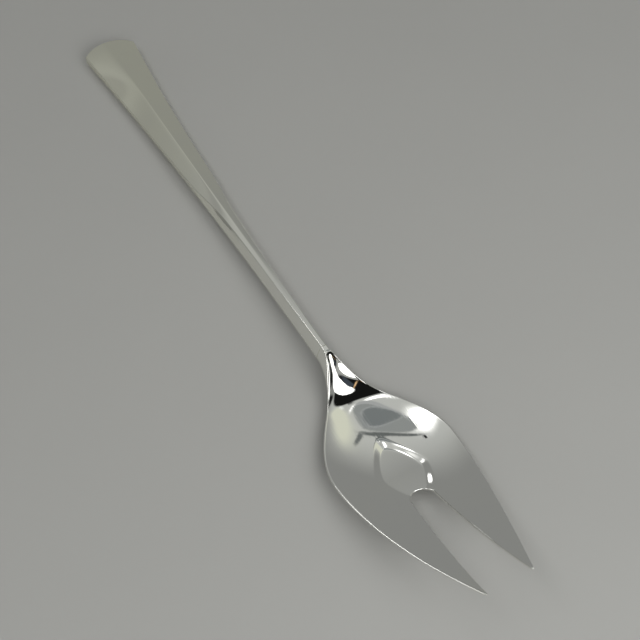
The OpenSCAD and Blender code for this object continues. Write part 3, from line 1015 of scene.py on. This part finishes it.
WALL_TINT, CLIMBS_FROM, CLIMBS_TO = (0.985, 1.0, 0.975), 0.605, 0.82


def studio_world(stage):
    """Studio round the fork: grey walls that lighten upwards, and soft-edged cards laid over them in turn."""
    world = bpy.data.worlds.new("soft_studio")
    bpy.context.scene.world = world
    world.use_nodes = True
    tree = world.node_tree
    way = new_node(tree, "ShaderNodeTexCoord").outputs["Generated"]
    height = new_node(tree, "ShaderNodeSeparateXYZ", {"Vector": way}).outputs["Z"]
    climb = smooth_range(tree, height, CLIMBS_FROM, CLIMBS_TO, stage.wall_light, stage.high_light)
    walls = {0: WALL_TINT, "Scale": climb}
    light = new_node(tree, "ShaderNodeVectorMath", walls, operation="SCALE").outputs["Vector"]
    group = card_group()
    for name, azimuth, elevation, roll, wide, high, soft, colour in STUDIO_CARDS:
        middle = sky(azimuth, elevation)
        turn = Matrix.Rotation(math.radians(roll), 3, middle)
        right = turn @ middle.cross(Vector((0.0, 0.0, 1.0))).normalized()
        inputs = {
            "Direction": way, "Middle": middle, "Right": right / wide, "Up": right.cross(middle) / high,
            "Fade Start": 1.0 / (1.0 + soft), "Fade End": 1.0 / (1.0 - soft),
        }
        card = new_node(tree, "ShaderNodeGroup", inputs, node_tree=group, label=name)
        tone = colour if isinstance(colour, tuple) else (colour * stage.panel_light,) * 3
        inputs = {"Factor": card.outputs["Mask"], "A": light, "B": tone}
        light = new_node(tree, "ShaderNodeMix", inputs, data_type="VECTOR").outputs["Result"]
    feed(tree.nodes["Background"], {"Color": light})


LAMP_AZIMUTH, LAMP_ELEVATION, LAMP_DISTANCE = 4.0, 31.0, 0.56
LAMP_WIDTH, LAMP_HEIGHT = 0.5, 0.22


def hang_lamp(stage):
    """Broad soft lamp in front of the tines that looks at the bowl."""
    data = bpy.data.lights.new("front_lamp", "AREA")
    data.shape = "RECTANGLE"
    data.size, data.size_y, data.energy = LAMP_WIDTH, LAMP_HEIGHT, stage.lamp_power
    lamp = put("front_lamp", data)
    way = sky(LAMP_AZIMUTH, LAMP_ELEVATION)
    lamp.location = way * LAMP_DISTANCE
    lamp.rotation_euler = way.to_track_quat("Z", "Y").to_euler()


CAMERA_RIGHT = Vector((0.4882, 0.8727, 0.0))
CAMERA_DOWN = Vector((0.6867, -0.3842, -0.6172))
SENSOR_WIDTH, NEAREST_SEEN = 36.0, 0.01


def place_camera(stage):
    """Camera that looks across its right and down directions, as the photograph's did."""
    data = bpy.data.cameras.new("camera")
    data.lens = stage.lens
    data.sensor_width = SENSOR_WIDTH
    data.clip_start = NEAREST_SEEN
    right = CAMERA_RIGHT.normalized()
    up = (-CAMERA_DOWN - right * right.dot(-CAMERA_DOWN)).normalized()
    turn = Matrix((right, up, right.cross(up))).transposed().to_4x4()
    camera = put("camera", data)
    camera.matrix_world = Matrix.Translation(Vector(stage.camera_place)) @ turn
    bpy.context.scene.camera = camera


FLOOR_LINES, FLOOR_DROP = 9, 0.01 * MM


def lay_floor(stage):
    """Square floor just under the fork, a grid of a few cells."""
    steps = np.linspace(-0.5, 0.5, FLOOR_LINES) * stage.floor_size
    x, y = np.meshgrid(steps, steps, indexing="ij")
    vertices, quads, _ = weld([np.stack([x, y, np.full_like(x, -FLOOR_DROP)], axis=-1)])
    mesh = bpy.data.meshes.new("floor")
    mesh.from_pydata(vertices.tolist(), [], quads[:, ::-1].tolist())
    floor = put("floor", mesh)
    mesh.materials.append(floor_finish(stage))


# Operators

class FORK_OT_head(bpy.types.Operator):
    """Builds the bowl, shoulder, tines and tang as one polished skin"""

    bl_idname = "fork.head"
    bl_label = "Fork head"

    def execute(self, context):
        m = measures(context.scene)
        silver = silver_finish(context.scene.fork_finishes)
        make_piece("polished_head", *weld(head_skin(m)), silver, "silver", "fork_head")
        return {"FINISHED"}


class FORK_OT_handle_shells(bpy.types.Operator):
    """Builds the two pressed shells of the handle"""

    bl_idname = "fork.handle_shells"
    bl_label = "Handle shells"

    def execute(self, context):
        m = measures(context.scene)
        silver = silver_finish(context.scene.fork_finishes)
        shells = (
            ("polished_front", front_skin, "handle_front_shell", 1, ridge_z),
            ("polished_back", back_skin, "handle_back_shell", -1, back_z),
        )
        for name, skin, node, side, far in shells:
            outside, quads, triangles = weld(skin(m))
            inside = drawn_in(m, outside, side, far)
            make_piece(name, *shell(outside, inside, quads, triangles), silver, "silver", node)
        return {"FINISHED"}


class FORK_OT_solder(bpy.types.Operator):
    """Builds the solder along the seam and round the neck"""

    bl_idname = "fork.solder"
    bl_label = "Solder lines"

    def execute(self, context):
        m = measures(context.scene)
        solder = solder_finish(context.scene.fork_finishes)
        make_piece("seam_line", *weld(seam_band(m)), solder, "solder", "seam_solder")
        make_piece("neck_line", *weld(neck_ring(m)), solder, "solder", "neck_solder")
        return {"FINISHED"}


class FORK_OT_filling(bpy.types.Operator):
    """Gives the cement inside the handle its finish"""

    bl_idname = "fork.filling"
    bl_label = "Handle filling"

    def execute(self, context):
        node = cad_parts.get("handle_filler")
        if node is None:
            raise RuntimeError("the frame has no handle_filler")
        cement = cement_finish(context.scene.fork_finishes)
        node.data.materials.clear()
        node.data.materials.append(cement)
        return {"FINISHED"}


class FORK_OT_stage(bpy.types.Operator):
    """Lays the floor, lights the studio and places the camera"""

    bl_idname = "fork.stage"
    bl_label = "Stage"

    def execute(self, context):
        stage = context.scene.fork_stage
        lay_floor(stage)
        studio_world(stage)
        hang_lamp(stage)
        place_camera(stage)
        context.scene.view_settings.view_transform = "Standard"
        return {"FINISHED"}


OPERATORS = (FORK_OT_head, FORK_OT_handle_shells, FORK_OT_solder, FORK_OT_filling, FORK_OT_stage)


class FORK_PT_sidebar(bpy.types.Panel):
    """Lists the fork's pieces and the sizes and colours they are made from"""

    bl_idname = "FORK_PT_sidebar"
    bl_label = "Serving fork"
    bl_space_type = "VIEW_3D"
    bl_region_type = "UI"
    bl_category = "Fork"

    def draw(self, context):
        for operator in OPERATORS:
            self.layout.operator(operator.bl_idname)
        for name, group in SETTINGS.items():
            box = self.layout.box()
            box.label(text=group.__doc__)
            for key in group.__annotations__:
                box.prop(getattr(context.scene, name), key)


CLASSES = (*SETTINGS.values(), *OPERATORS, FORK_PT_sidebar)


def register():
    """Registers the classes and hangs the settings on the scene."""
    for cls in CLASSES:
        bpy.utils.register_class(cls)
    for name, group in SETTINGS.items():
        setattr(bpy.types.Scene, name, PointerProperty(type=group))


def unregister():
    """Takes the settings and the classes away again."""
    for name in SETTINGS:
        delattr(bpy.types.Scene, name)
    for cls in reversed(CLASSES):
        bpy.utils.unregister_class(cls)


def main():
    """Registers the classes and builds every piece in order."""
    register()
    bpy.ops.fork.head()
    bpy.ops.fork.handle_shells()
    bpy.ops.fork.solder()
    bpy.ops.fork.filling()
    bpy.ops.fork.stage()


if __name__ == "__main__":
    main()
